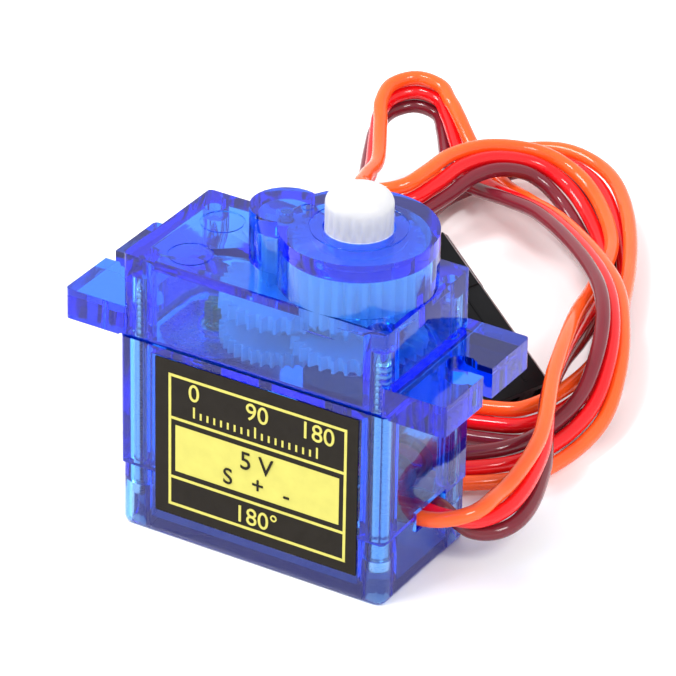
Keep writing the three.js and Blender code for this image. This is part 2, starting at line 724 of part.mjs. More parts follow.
// The route of the middle wire, [x, y, z], and the lean of the flat lead in degrees: at 0 it
// lies flat with its orange edge to the left of its run, at 90 it stands with orange on top.
const LEAD_ROUTE = [
  // out of the case and up on edge
  [8.0, LEAD_Y, LEAD_Z, 180],
  [10.4, LEAD_Y, LEAD_Z, 180],
  [12.4, 1.0, 4.6, 160],
  [14.4, 2.2, 4.3, 110],
  [15.5, 4.8, 4.4, 60],
  [14.4, 11.6, 5.0, 80],
  [10.6, 19.8, 5.8, 100],
  [8.5, 25.8, 5.5, 96],
  [6.6, 31.6, 4.2, 84],
  [4.6, 37.6, 2.8, 88],
  // the first loop, behind the case
  [0.8, 46.2, 2.3, 120],
  [-5.2, 51.4, 4.0, 150],
  [-8.2, 51.4, 5.3, 155],
  [-10.8, 49.0, 6.3, 158],
  [-12.3, 46.2, 6.4, 150],
  [-13.0, 42.8, 5.9, 128],
  [-13.9, 40.3, 5.4, 112],
  [-16.0, 38.9, 4.9, 102],
  [-18.3, 39.7, 4.5, 100],
  [-19.4, 42.0, 4.1, 106],
  // the standing fold
  [-20.6, 45.4, 3.7, 116],
  [-23.0, 50.2, 4.3, 108],
  [-24.1, 52.7, 5.0, 98],
  [-24.2, 54.9, 5.5, 91],
  [-22.9, 56.6, 5.7, 88],
  [-20.8, 56.7, 5.5, 84],
  [-19.0, 55.2, 5.0, 74],
  // the second loop, over the first one
  [-14.8, 50.8, 3.8, 32],
  [-11.0, 48.5, 3.8, -5],
  [-7.5, 47.0, 4.2, -20],
  [-3.4, 44.9, 4.8, -28],
  [5.6, 37.0, 6.0, -35],
  [9.2, 32.2, 5.8, -50],
  [11.6, 27.2, 4.6, -50],
  [12.6, 22.6, 2.9, -45],
  [12.0, 17.8, 2.0, -40],
  [10.4, 13.8, 1.9, -35],
  // the turn close behind the case
  [4.2, 9.9, 1.6, -15],
  [1.2, 10.3, 1.5, -5],
  [-0.8, 12.2, 1.5, 5],
  [-1.0, 15.0, 1.5, 15],
  [0.9, 17.2, 1.6, 26],
  [5.6, 18.1, 1.8, 38],
  [8.9, 19.6, 2.0, 45],
  // the third loop, under the others, and up to the connector
  [10.2, 28.2, 2.0, 65],
  [3.6, 44.6, 2.1, 110],
  [-4.2, 54.4, 3.2, 145],
  [-8.8, 56.0, 3.4, 155],
  [-12.6, 55.4, 2.6, 165],
  [-15.4, 52.6, 1.5, 172],
  [-16.6, 48.8, 1.3, 175],
  [-15.8, 40.0, 1.4, 178],
  [-15.2, 35.6, 3.1, 180],
  [-13.3, 31.8, 7.1, 180],
  [-11.7, 30.1, 9.2, 180],
  [-9.3, 28.6, 10.1, 180],
  [-6.9, 27.75, 8.8, 180],
];

// One wire of the flat lead: place is 1 for orange, 0 for red and -1 for brown. The wires
// fan out to the connector's pitch over the last of the route.
class LeadWire extends THREE.Curve {
  constructor(place) {
    super();
    this.place = place;
    const lastStop = LEAD_ROUTE.length - 1;
    const fanStops = 1.5;
    this.middle = new THREE.CatmullRomCurve3(
      LEAD_ROUTE.map(([x, y, z]) => new THREE.Vector3(x, y, z)), false, 'centripetal');
    this.twist = new THREE.CatmullRomCurve3(
      LEAD_ROUTE.map(([, , , lean]) => new THREE.Vector3(lean, 0, 0)), false, 'catmullrom');
    this.fanStart = 1 - fanStops / lastStop;
  }

  getPoint(t, target = new THREE.Vector3()) {
    const run = this.middle.getTangent(t);
    const left = new THREE.Vector3(-run.y, run.x, 0).normalize();
    const up = new THREE.Vector3().crossVectors(run, left);
    const lean = THREE.MathUtils.degToRad(this.twist.getPoint(t).x);
    const fan = THREE.MathUtils.smoothstep(t, this.fanStart, 1);
    const offset = this.place * THREE.MathUtils.lerp(WIRE_PITCH, CONNECTOR.pitch, fan);
    return target.copy(this.middle.getPoint(t))
      .addScaledVector(left, offset * Math.cos(lean))
      .addScaledVector(up, offset * Math.sin(lean));
  }

  // Steps fall evenly between the route's points, so they are closest where it bends.
  getUtoTmapping(u) {
    return u;
  }
}

function leadWire(place) {
  const steps = 80;
  return wireAlong(new LeadWire(place), WIRE_RADIUS, steps);
}

// The connector lies along its own X axis with its mouth at +X and its wire end at -X. Each
// channel holds a contact, opens to a pin hole at the mouth and has a latch window below.
function connectorHousing() {
  const { length, width, thickness, pitch } = CONNECTOR;
  const wireEnd = -length / 2;
  const mouthEnd = length / 2;
  const channel = { half: 0.9, end: mouthEnd - 4.5 };
  const pinHoleHalf = 0.45;
  const latch = { start: -1.6, end: 0.9, half: 0.6 };
  const channels = [-pitch, 0, pitch].flatMap(y => [
    box([wireEnd - PAST, channel.end], [y - channel.half, y + channel.half],
      [-channel.half, channel.half]),
    box([wireEnd + PAST, mouthEnd + PAST], [y - pinHoleHalf, y + pinHoleHalf],
      [-pinHoleHalf, pinHoleHalf]),
    box([latch.start, latch.end], [y - latch.half, y + latch.half], [-thickness, 0]),
  ]);
  return cut(
    box([wireEnd, mouthEnd], [-width / 2, width / 2], [-thickness / 2, thickness / 2]),
    ...channels);
}

// A crimped square tube, open towards the mouth for the pin that mates with it.
function connectorContact(y) {
  const start = -CONNECTOR.length / 2 + 1.2;
  const end = CONNECTOR.length / 2 - 4.9;
  const half = 0.6;
  const bore = { half: 0.38, depth: 5 };
  return cut(
    box([start, end], [y - half, y + half], [-half, half]),
    box([end - bore.depth, end + PAST], [y - bore.half, y + bore.half], [-bore.half, bore.half]));
}

function connector() {
  const { length, mouth, heading, incline, pitch } = CONNECTOR;
  const group = new THREE.Group();
  group.rotation.set(0, incline, heading, 'ZYX');
  const towardsMouth = new THREE.Vector3(1, 0, 0).applyEuler(group.rotation);
  group.position.copy(mouth).addScaledVector(towardsMouth, -length / 2);
  group.add(mesh('connector_housing', connectorHousing(), DARK_PLASTIC));
  [-1, 0, 1].forEach((place, index) => {
    group.add(mesh(`connector_contact_${index + 1}`, connectorContact(place * pitch), BRASS));
  });
  return group;
}

// ---- assembly -------------------------------------------------------------------------

const servo = new THREE.Group();

servo.add(
  mesh('top_cover', topCover(), CLEAR_BLUE),
  mesh('middle_case', middleCase(), CLEAR_BLUE),
  mesh('bottom_cover', bottomCover(), CLEAR_BLUE),
  mesh('front_label', frontLabel(), LABEL_BLACK),
);
for (const [corner, x, y] of CORNERS) {
  servo.add(mesh(`case_screw_${corner}`, caseScrew(x, y), STEEL));
}
servo.add(
  mesh('output_gear', outputGear(), NYLON),
  mesh('third_gear', thirdGear(), NYLON),
  mesh('second_gear', secondGear(), NYLON),
  mesh('first_gear', firstGear(), NYLON),
  mesh('motor_pinion', motorPinion(), BRASS),
  mesh('idler_pin', idlerPin(), STEEL),
  mesh('motor_can', motorCan(), CAN_STEEL),
  mesh('motor_bearing', motorBearing(), BRASS),
  mesh('motor_end_cap', motorEndCap(), NYLON),
  mesh('motor_terminal_front', motorTerminal(-1), COPPER),
  mesh('motor_terminal_back', motorTerminal(1), COPPER),
  mesh('motor_brush_front', motorBrush(-1), COPPER),
  mesh('motor_brush_back', motorBrush(1), COPPER),
  mesh('motor_magnet_front', motorMagnet(-1), FERRITE),
  mesh('motor_magnet_back', motorMagnet(1), FERRITE),
  mesh('motor_shaft', motorShaft(), STEEL),
  mesh('armature_core', armatureCore(), CAN_STEEL),
  mesh('commutator', commutator(), COPPER),
  mesh('pot_housing', potHousing(), DARK_PLASTIC),
  mesh('pot_element', potElement(), BOARD_GREEN),
  mesh('pot_wiper', potWiper(), BRASS),
  mesh('pot_shaft', potShaft(), NYLON),
  mesh('control_board', controlBoard(), BOARD_GREEN),
  mesh('control_chip', controlChip(), DARK_PLASTIC),
  mesh('smoothing_capacitor', smoothingCapacitor(), CAPACITOR_YELLOW),
  mesh('motor_lead_front', motorLead(-1), WIRE_RED),
  mesh('motor_lead_back', motorLead(1), DARK_PLASTIC),
);
for (let pole = 0; pole < ROTOR.poles; pole += 1) {
  servo.add(mesh(`armature_coil_${pole + 1}`, armatureCoil(pole), COPPER));
}
POT_TAB.y.forEach((y, index) => {
  servo.add(
    mesh(`pot_tab_${index + 1}`, potTab(y), COPPER),
    mesh(`pot_lead_${index + 1}`, potLead(y), WIRE_BROWN));
});

for (const [name, place, finish] of [
  ['wire_orange', 1, WIRE_ORANGE], ['wire_red', 0, WIRE_RED], ['wire_brown', -1, WIRE_BROWN],
]) {
  servo.add(mesh(name, leadWire(place), finish));
}
servo.add(connector());

export default servo;
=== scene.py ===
# Micro hobby servo with a clear blue case: the looks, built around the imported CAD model.
# Metres, +Z up. The output shaft is towards +X, the label faces -Y.

import json
import math

import bmesh
import bpy
from mathutils import Matrix, Vector


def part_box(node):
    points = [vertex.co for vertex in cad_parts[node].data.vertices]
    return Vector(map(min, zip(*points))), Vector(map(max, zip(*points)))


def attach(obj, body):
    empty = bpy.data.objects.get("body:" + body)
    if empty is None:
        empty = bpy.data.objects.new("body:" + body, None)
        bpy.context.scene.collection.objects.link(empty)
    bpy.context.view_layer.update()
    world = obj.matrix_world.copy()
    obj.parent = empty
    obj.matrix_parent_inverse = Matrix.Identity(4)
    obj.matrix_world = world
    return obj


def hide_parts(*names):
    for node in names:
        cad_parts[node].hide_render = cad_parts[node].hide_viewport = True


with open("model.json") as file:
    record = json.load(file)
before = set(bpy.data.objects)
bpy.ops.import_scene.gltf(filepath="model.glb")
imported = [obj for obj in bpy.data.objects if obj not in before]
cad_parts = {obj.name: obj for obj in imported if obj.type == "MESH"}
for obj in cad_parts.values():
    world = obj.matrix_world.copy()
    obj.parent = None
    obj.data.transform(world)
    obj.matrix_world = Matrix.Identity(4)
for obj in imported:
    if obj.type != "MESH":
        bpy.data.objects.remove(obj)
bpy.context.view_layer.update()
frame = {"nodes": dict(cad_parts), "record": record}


def add_object(name, data):
    """A new object in the scene, at the origin."""
    made = bpy.data.objects.new(name, data)
    bpy.context.scene.collection.objects.link(made)
    return made


# ---- camera -----------------------------------------------------------------------------

# The point that the camera looks at, and where it looks from: round from -Y and up from level.
CAMERA_TARGET = Vector((0.001016, 0.002233, 0.016447))
CAMERA_AZIMUTH = math.radians(30.954)
CAMERA_ELEVATION = math.radians(29.618)
CAMERA_ROLL = math.radians(0.943)
CAMERA_DISTANCE = 0.384519
SENSOR_WIDTH = 36.0
FOCAL_LENGTH = 280.35
SHIFT_RIGHT = 0.0216
SHIFT_UP = -0.0171
NEAREST_SEEN = 0.01
FARTHEST_SEEN = 10.0


def make_camera():
    """A long lens that looks down at the corner between the label and the lead's end."""
    back = Vector((
        math.sin(CAMERA_AZIMUTH) * math.cos(CAMERA_ELEVATION),
        -math.cos(CAMERA_AZIMUTH) * math.cos(CAMERA_ELEVATION),
        math.sin(CAMERA_ELEVATION)))
    data = bpy.data.cameras.new("camera")
    data.sensor_width = SENSOR_WIDTH
    data.lens = FOCAL_LENGTH
    data.shift_x = SHIFT_RIGHT
    data.shift_y = SHIFT_UP
    data.clip_start = NEAREST_SEEN
    data.clip_end = FARTHEST_SEEN
    camera = add_object("camera", data)
    camera.rotation_mode = "QUATERNION"
    level = (-back).to_track_quat("-Z", "Y").to_matrix()
    camera.rotation_quaternion = (level @ Matrix.Rotation(CAMERA_ROLL, 3, "Z")).to_quaternion()
    camera.location = CAMERA_TARGET + back * CAMERA_DISTANCE
    bpy.context.scene.camera = camera


make_camera()


# ---- the lead ---------------------------------------------------------------------------

WIRE_DIAMETER = 0.0012
WIRE_PITCH = 0.0013
WIRE_SIDES = {"orange": 1, "red": 0, "brown": -1}
LEAD_Y = 0.0008
LEAD_Z = 0.00475
LEAD_EXIT = (0.0104, LEAD_Y, LEAD_Z)
CONNECTOR_PITCH = 0.00254
STEPS_PER_STOP = 14
# Over this many of the route's last stops the wires spread out to the connector's pitch.
FAN_STOPS = 1.5

# The route of the middle wire as (x, y, z), and the lean of the flat lead in degrees: at 0 it
# lies flat with its orange edge to the left of its run, at 90 it stands with orange on top.
LEAD_ROUTE = (
    # out of the case and up on edge
    (0.008, LEAD_Y, LEAD_Z, 180),
    (*LEAD_EXIT, 180),
    (0.0124, 0.001, 0.0046, 160),
    (0.0144, 0.0022, 0.0043, 110),
    (0.0155, 0.0048, 0.0044, 60),
    (0.0144, 0.0116, 0.005, 80),
    (0.0106, 0.0198, 0.0058, 100),
    (0.0085, 0.0258, 0.0055, 96),
    (0.0066, 0.0316, 0.0042, 84),
    (0.0046, 0.0376, 0.0028, 88),
    # the first loop, behind the case
    (0.0008, 0.0462, 0.0023, 120),
    (-0.0052, 0.0514, 0.004, 150),
    (-0.0082, 0.0514, 0.0053, 155),
    (-0.0108, 0.049, 0.0063, 158),
    (-0.0123, 0.0462, 0.0064, 150),
    (-0.013, 0.0428, 0.0059, 128),
    (-0.0139, 0.0403, 0.0054, 112),
    (-0.016, 0.0389, 0.0049, 102),
    (-0.0183, 0.0397, 0.0045, 100),
    (-0.0194, 0.042, 0.0041, 106),
    # the standing fold
    (-0.0206, 0.0454, 0.0037, 116),
    (-0.023, 0.0502, 0.0043, 108),
    (-0.0241, 0.0527, 0.005, 98),
    (-0.0242, 0.0549, 0.0055, 91),
    (-0.0229, 0.0566, 0.0057, 88),
    (-0.0208, 0.0567, 0.0055, 84),
    (-0.019, 0.0552, 0.005, 74),
    # the second loop, over the first one
    (-0.0148, 0.0508, 0.0038, 32),
    (-0.011, 0.0485, 0.0038, -5),
    (-0.0075, 0.047, 0.0042, -20),
    (-0.0034, 0.0449, 0.0048, -28),
    (0.0056, 0.037, 0.006, -35),
    (0.0092, 0.0322, 0.0058, -50),
    (0.0116, 0.0272, 0.0046, -50),
    (0.0126, 0.0226, 0.0029, -45),
    (0.012, 0.0178, 0.002, -40),
    (0.0104, 0.0138, 0.0019, -35),
    # the turn close behind the case
    (0.0042, 0.0099, 0.0016, -15),
    (0.0012, 0.0103, 0.0015, -5),
    (-0.0008, 0.0122, 0.0015, 5),
    (-0.001, 0.015, 0.0015, 15),
    (0.0009, 0.0172, 0.0016, 26),
    (0.0056, 0.0181, 0.0018, 38),
    (0.0089, 0.0196, 0.002, 45),
    # the third loop, under the others, and up to the connector
    (0.0102, 0.0282, 0.002, 65),
    (0.0036, 0.0446, 0.0021, 110),
    (-0.0042, 0.0544, 0.0032, 145),
    (-0.0088, 0.056, 0.0034, 155),
    (-0.0126, 0.0554, 0.0026, 165),
    (-0.0154, 0.0526, 0.0015, 172),
    (-0.0166, 0.0488, 0.0013, 175),
    (-0.0158, 0.04, 0.0014, 178),
    (-0.0152, 0.0356, 0.0031, 180),
    (-0.0133, 0.0318, 0.0071, 180),
    (-0.0117, 0.0301, 0.0092, 180),
    (-0.0093, 0.0286, 0.0101, 180),
    (-0.0069, 0.02775, 0.0088, 180),
)


def hermite(start, end, leave, arrive, u):
    """A cubic from start to end, with its slope at each end given."""
    return (
        start
        + leave * u
        + (3 * (end - start) - 2 * leave - arrive) * u ** 2
        + (2 * (start - end) + leave + arrive) * u ** 3)


def route_at(t):
    """The middle wire's place, on a centripetal Catmull-Rom curve, and its lean at t, 0 to 1."""
    spans = len(LEAD_ROUTE) - 1
    span = min(int(t * spans), spans - 1)
    u = t * spans - span

    def stop(index):
        if index < 0:
            return 2 * Vector(LEAD_ROUTE[0]) - Vector(LEAD_ROUTE[1])
        if index > spans:
            return 2 * Vector(LEAD_ROUTE[spans]) - Vector(LEAD_ROUTE[spans - 1])
        return Vector(LEAD_ROUTE[index])

    before, start, end, after = (stop(span + k) for k in (-1, 0, 1, 2))
    places = [Vector(p[:3]) for p in (before, start, end, after)]
    gaps = [math.sqrt((b - a).length) for a, b in zip(places, places[1:])]
    a, b, c, d = places
    leave = ((b - a) / gaps[0] - (c - a) / (gaps[0] + gaps[1]) + (c - b) / gaps[1]) * gaps[1]
    arrive = ((c - b) / gaps[1] - (d - b) / (gaps[1] + gaps[2]) + (d - c) / gaps[2]) * gaps[1]
    place = hermite(b, c, leave, arrive, u)
    lean = hermite(start[3], end[3], (end[3] - before[3]) / 2, (after[3] - start[3]) / 2, u)
    return place, lean


def wire_line(side):
    """The points down the middle of one wire, side pitches to the left of the middle wire."""
    spans = len(LEAD_ROUTE) - 1
    steps = STEPS_PER_STOP * spans
    fan_start = 1 - FAN_STOPS / spans
    nudge = 1e-4
    points = []
    for step in range(steps + 1):
        t = step / steps
        place, lean = route_at(t)
        run = (route_at(min(t + nudge, 1))[0] - route_at(max(t - nudge, 0))[0]).normalized()
        left = Vector((-run.y, run.x, 0)).normalized()
        up = run.cross(left)
        fan = min(max((t - fan_start) / (1 - fan_start), 0), 1)
        fan = fan * fan * (3 - 2 * fan)
        offset = side * (WIRE_PITCH + (CONNECTOR_PITCH - WIRE_PITCH) * fan)
        lean = math.radians(lean)
        points.append(place + left * offset * math.cos(lean) + up * offset * math.sin(lean))
    return points


def make_wire(name, side):
    """One round insulated wire, as a curve."""
    points = wire_line(side)
    curve = bpy.data.curves.new(name, "CURVE")
    curve.dimensions = "3D"
    curve.bevel_depth = WIRE_DIAMETER / 2
    curve.bevel_resolution = 5
    curve.use_fill_caps = True
    spline = curve.splines.new("POLY")
    spline.points.add(len(points) - 1)
    for point, place in zip(spline.points, points):
        point.co = (*place, 1)
    spline.use_smooth = True
    return add_object(name, curve)


# ---- node material helpers --------------------------------------------------------------

def new_material(name):
    """A material with an empty node tree, its shader and its output."""
    material = bpy.data.materials.new(name)
    material.use_nodes = True
    tree = material.node_tree
    tree.nodes.clear()
    output = tree.nodes.new("ShaderNodeOutputMaterial")
    shader = tree.nodes.new("ShaderNodeBsdfPrincipled")
    tree.links.new(shader.outputs["BSDF"], output.inputs["Surface"])
    return material, tree, shader, output


def noise(tree, scale, detail=3.0, roughness=0.5, stretch=(1, 1, 1)):
    """A noise texture in object space, with its scale in cells per metre."""
    place = tree.nodes.new("ShaderNodeTexCoord")
    mapping = tree.nodes.new("ShaderNodeMapping")
    mapping.inputs["Scale"].default_value = stretch
    texture = tree.nodes.new("ShaderNodeTexNoise")
    texture.inputs["Scale"].default_value = scale
    texture.inputs["Detail"].default_value = detail
    texture.inputs["Roughness"].default_value = roughness
    tree.links.new(place.outputs["Object"], mapping.inputs["Vector"])
    tree.links.new(mapping.outputs["Vector"], texture.inputs["Vector"])
    return texture.outputs["Fac"]


def spread(tree, value, low, high):
    """The middle of a noise's range spread out from low to high."""
    node = tree.nodes.new("ShaderNodeMapRange")
    node.inputs["From Min"].default_value = 0.3
    node.inputs["From Max"].default_value = 0.7
    node.inputs["To Min"].default_value = low
    node.inputs["To Max"].default_value = high
    tree.links.new(value, node.inputs["Value"])
    return node.outputs["Result"]


def blend_colours(tree, factor, first, second):
    """A colour between two others, by a factor from 0 to 1."""
    node = tree.nodes.new("ShaderNodeMix")
    node.data_type = "RGBA"
    tree.links.new(factor, node.inputs["Factor"])
    node.inputs["A"].default_value = (*first, 1)
    node.inputs["B"].default_value = (*second, 1)
    return node.outputs["Result"]


def bump(tree, shader, height, strength, distance):
    """Fine relief on the shader's surface, with its depth in metres."""
    node = tree.nodes.new("ShaderNodeBump")
    node.inputs["Strength"].default_value = strength
    node.inputs["Distance"].default_value = distance
    tree.links.new(height, node.inputs["Height"])
    tree.links.new(node.outputs["Normal"], shader.inputs["Normal"])


# ---- materials --------------------------------------------------------------------------

def clear_blue():
    """Clear dyed plastic: the blue deepens with the depth of plastic that light crosses.

    The faint blue glow is painted light: an emission, though the case is no lamp, that stands in for
    the light the dye scatters."""
    material, tree, shader, output = new_material("clear_blue")
    shader.inputs["Base Color"].default_value = (0.95, 0.96, 1.0, 1)
    shader.inputs["Transmission Weight"].default_value = 1.0
    shader.inputs["IOR"].default_value = 1.49
    # Painted light: a faint blue emission brightens the case, standing in for the light the dye
    # scatters.
    shader.inputs["Emission Color"].default_value = (0.0, 0.05, 1.0, 1)
    shader.inputs["Emission Strength"].default_value = 0.035
    dye = tree.nodes.new("ShaderNodeVolumeAbsorption")
    dye.inputs["Color"].default_value = (0.16, 0.67, 0.982, 1)
    dye.inputs["Density"].default_value = 1800
    tree.links.new(dye.outputs["Volume"], output.inputs["Volume"])
    haze = noise(tree, 900, detail=4)
    tree.links.new(spread(tree, haze, 0.02, 0.07), shader.inputs["Roughness"])
    bump(tree, shader, noise(tree, 500, detail=2), strength=0.06, distance=0.0002)
    return material


def nylon(name, colour, lighter):
    """Milky white nylon: light sinks in a little before it comes back."""
    material, tree, shader, _ = new_material(name)
    tone = blend_colours(tree, noise(tree, 700), colour, lighter)
    tree.links.new(tone, shader.inputs["Base Color"])
    shader.inputs["Subsurface Weight"].default_value = 0.35
    shader.inputs["Subsurface Radius"].default_value = (1.0, 0.9, 0.8)
    shader.inputs["Subsurface Scale"].default_value = 0.0008
    tree.links.new(spread(tree, noise(tree, 2500), 0.32, 0.5), shader.inputs["Roughness"])
    bump(tree, shader, noise(tree, 6000), strength=0.1, distance=0.00003)
    return material


def metal(name, colour, roughness, grain=(1, 1, 12)):
    """Bright metal with fine streaks: its grain squeezes the noise along each axis."""
    material, tree, shader, _ = new_material(name)
    darker = tuple(0.8 * c for c in colour)
    streaks = noise(tree, 3000, detail=4, stretch=grain)
    tree.links.new(blend_colours(tree, streaks, darker, colour), shader.inputs["Base Color"])
    shader.inputs["Metallic"].default_value = 1.0
    tree.links.new(
        spread(tree, streaks, 0.7 * roughness, 1.3 * roughness), shader.inputs["Roughness"])
    bump(tree, shader, streaks, strength=0.1, distance=0.00002)
    return material


def moulded(name, colour, roughness, specular=0.5):
    """Opaque plastic or print, with a fine moulded texture."""
    material, tree, shader, _ = new_material(name)
    shader.inputs["Specular IOR Level"].default_value = specular
    lighter = tuple(min(1.0, 1.25 * c + 0.004) for c in colour)
    tree.links.new(
        blend_colours(tree, noise(tree, 800), colour, lighter),
        shader.inputs["Base Color"])
    tree.links.new(
        spread(tree, noise(tree, 2000), 0.85 * roughness, 1.2 * roughness),
        shader.inputs["Roughness"])
    bump(tree, shader, noise(tree, 4000), strength=0.15, distance=0.00003)
    return material


def insulation(name, colour, shade):
    """Glossy soft PVC with faint cloudy variation and fine orange peel."""
    material, tree, shader, _ = new_material(name)
    tree.links.new(
        blend_colours(tree, noise(tree, 260), colour, shade), shader.inputs["Base Color"])
    tree.links.new(spread(tree, noise(tree, 1500), 0.08, 0.16), shader.inputs["Roughness"])
    shader.inputs["Specular IOR Level"].default_value = 0.45
    shader.inputs["Subsurface Weight"].default_value = 0.15
    shader.inputs["Subsurface Radius"].default_value = (1.0, 0.4, 0.2)
    shader.inputs["Subsurface Scale"].default_value = 0.0006
    bump(tree, shader, noise(tree, 1800, detail=2), strength=0.12, distance=0.00005)
    return material


MATERIALS = {
    "clear_blue": clear_blue(),
    "nylon": nylon("nylon", (0.84, 0.84, 0.88), (0.92, 0.92, 0.95)),
    # Painted shade: the same nylon made darker, for the stub that stands in the light above the
    # case.
    "painted_shade_nylon": nylon("painted_shade_nylon", (0.52, 0.52, 0.545), (0.6, 0.6, 0.625)),
    "steel": metal("steel", (0.62, 0.63, 0.66), 0.25),
    "brass": metal("brass", (0.78, 0.58, 0.25), 0.3),
    "motor_can": metal("motor_can", (0.62, 0.64, 0.68), 0.3),
    "copper": metal("copper", (0.75, 0.4, 0.22), 0.3),
    "ferrite": moulded("ferrite", (0.05, 0.05, 0.055), 0.7),
    "laminations": metal("laminations", (0.4, 0.41, 0.44), 0.35, (1, 1, 60)),
    "enamelled_copper": metal("enamelled_copper", (0.6, 0.2, 0.08), 0.2),
    "black_plastic": moulded("black_plastic", (0.004, 0.004, 0.005), 0.35, specular=0.1),
    # Painted highlight: a lighter grey for the connector's chamfers, where they catch the light.
    "chamfer_highlight_plastic": moulded("chamfer_highlight_plastic", (0.16, 0.15, 0.16), 0.3),
    "board": moulded("board", (0.02, 0.16, 0.07), 0.35),
    "capacitor": moulded("capacitor", (0.7, 0.45, 0.06), 0.5),
    "label": moulded("label", (0.012, 0.009, 0.006), 0.45, specular=0.1),
    "label_print": moulded("label_print", (0.52, 0.48, 0.11), 0.45, specular=0.1),
    "solder": metal("solder", (0.75, 0.76, 0.78), 0.3),
    "inner_wire": insulation("inner_wire", (0.33, 0.03, 0.05), (0.4, 0.05, 0.06)),
    "wire_orange": insulation("wire_orange", (0.95, 0.085, 0.01), (1.0, 0.13, 0.02)),
    "wire_red": insulation("wire_red", (0.75, 0.004, 0.008), (0.85, 0.008, 0.012)),
    "wire_brown": insulation("wire_brown", (0.14, 0.01, 0.02), (0.19, 0.016, 0.028)),
}

BODY_OF = {
    node: body
    for body, nodes in frame["record"]["behaviour"]["bodies"].items()
    for node in nodes}
SLOT_OF = {row["node"]: row["material_slot"] for row in frame["record"]["subparts"]}


def paint(piece, slot, material=None):
    """The piece gets the slot's material, or another one that belongs to the slot."""
    piece.data.materials.clear()
    piece.data.materials.append(MATERIALS[material or slot])


# ---- mesh helpers -----------------------------------------------------------------------

SMOOTH_ANGLE = math.radians(32)


def finish_mesh(build, name):
    """A new object from a bmesh, smooth over its round stretches and sharp at its edges."""
    bmesh.ops.recalc_face_normals(build, faces=build.faces)
    mesh = bpy.data.meshes.new(name)
    build.to_mesh(mesh)
    build.free()
    mesh.polygons.foreach_set("use_smooth", [True] * len(mesh.polygons))
    mesh.set_sharp_from_angle(angle=SMOOTH_ANGLE)
    return add_object(name, mesh)


def round_edges(piece, width, segments=2):
    """Eases the piece's sharp edges."""
    bevel = piece.modifiers.new("rounding", "BEVEL")
    bevel.width = width
    bevel.segments = segments
    bevel.limit_method = "ANGLE"
    bevel.angle_limit = SMOOTH_ANGLE
    bevel.use_clamp_overlap = True
    bevel.harden_normals = True


def copy_of(node, name):
    """The CAD node's own shape with its flat faces whole again, as a new object."""
    build = bmesh.new()
    build.from_mesh(frame["nodes"][node].data)
    bmesh.ops.remove_doubles(build, verts=build.verts, dist=1e-6)
    bmesh.ops.dissolve_limit(
        build, angle_limit=math.radians(0.5), verts=build.verts, edges=build.edges)
    return finish_mesh(build, name)


replaced = set()


def stand_for(piece, node, material=None):
    """The piece takes the place, the body and the material of a CAD node."""
    replaced.add(node)
    paint(piece, SLOT_OF[node], material)
    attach(piece, BODY_OF[node])
    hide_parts(node)
    return piece


def add_to(piece, body, slot, material=None):
    """The piece is an extra on a body."""
    paint(piece, slot, material)
    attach(piece, body)
    return piece


def box_into(build, low, high, matrix=None):
    """A box from its low corner to its high one, then moved by the matrix."""
    made = bmesh.ops.create_cube(build, size=1.0)
    size = Vector(high) - Vector(low)
    middle = (Vector(high) + Vector(low)) / 2
    bmesh.ops.scale(build, verts=made["verts"], vec=size)
    bmesh.ops.translate(build, verts=made["verts"], vec=middle)
    if matrix:
        bmesh.ops.transform(build, matrix=matrix, verts=made["verts"])


def rings_into(build, rings, closed=False):
    """Quads between rings of points, with the two ends filled."""
    loops = [[build.verts.new(point) for point in ring] for ring in rings]
    pairs = list(zip(loops, loops[1:]))
    if closed:
        pairs.append((loops[-1], loops[0]))
    for lower, upper in pairs:
        count = len(lower)
        for i in range(count):
            j = (i + 1) % count
            build.faces.new((lower[i], lower[j], upper[j], upper[i]))
    if not closed:
        build.faces.new(loops[0][::-1])
        build.faces.new(loops[-1])


def circle(x, y, z, radius, count):
    """A level ring of points round an upright axis."""
    return [
        (x + radius * math.cos(2 * math.pi * i / count),
         y + radius * math.sin(2 * math.pi * i / count), z)
        for i in range(count)]


def turned_into(build, x, y, profile, count):
    """A closed body of revolution on an upright axis: profile is (radius, height) pairs."""
    rings_into(build, [circle(x, y, height, radius, count) for radius, height in profile])


def carve(piece, build):
    """Cuts the bmesh's bodies out of the piece, for good."""
    tool_mesh = bpy.data.meshes.new("tool")
    bmesh.ops.recalc_face_normals(build, faces=build.faces)
    build.to_mesh(tool_mesh)
    build.free()
    tool = add_object("tool", tool_mesh)
    cut = piece.modifiers.new("cut", "BOOLEAN")
    cut.object = tool
    cut.operation = "DIFFERENCE"
    cut.solver = "EXACT"
    cut.use_self = True
    bpy.context.view_layer.update()
    carved = bpy.data.meshes.new_from_object(
        piece.evaluated_get(bpy.context.evaluated_depsgraph_get()))
    piece.modifiers.clear()
    piece.data = carved
    carved.polygons.foreach_set("use_smooth", [True] * len(carved.polygons))
    carved.set_sharp_from_angle(angle=SMOOTH_ANGLE)
    bpy.data.objects.remove(tool)


# ---- the clear case ---------------------------------------------------------------------

def centre_x(node):
    """The x of a node's centre."""
    return sum(corner[0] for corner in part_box(node)) / 2


# The top cover's roof beside the boss, the joint under it, and the boss's top.
ROOF_Z = 0.0227
DECK_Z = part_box("middle_case")[1][2]
BOSS_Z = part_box("top_cover")[1][2]
OUTPUT_X = centre_x("pot_housing")
IDLER_X = centre_x("idler_pin")

COVER_ROUNDING = 0.00028
MIDDLE_ROUNDING = 0.00012
BOTTOM_ROUNDING = 0.00015

EJECTOR_RADIUS = 0.00165
EJECTOR_PLACES = ((-0.0076, 0.0020), (-0.0069, -0.0034))
BOSS_RING_RADIUS = 0.0036
GATE_RADIUS = 0.00045
GATE_X = 0.0006
GATE_Y = 0.0005


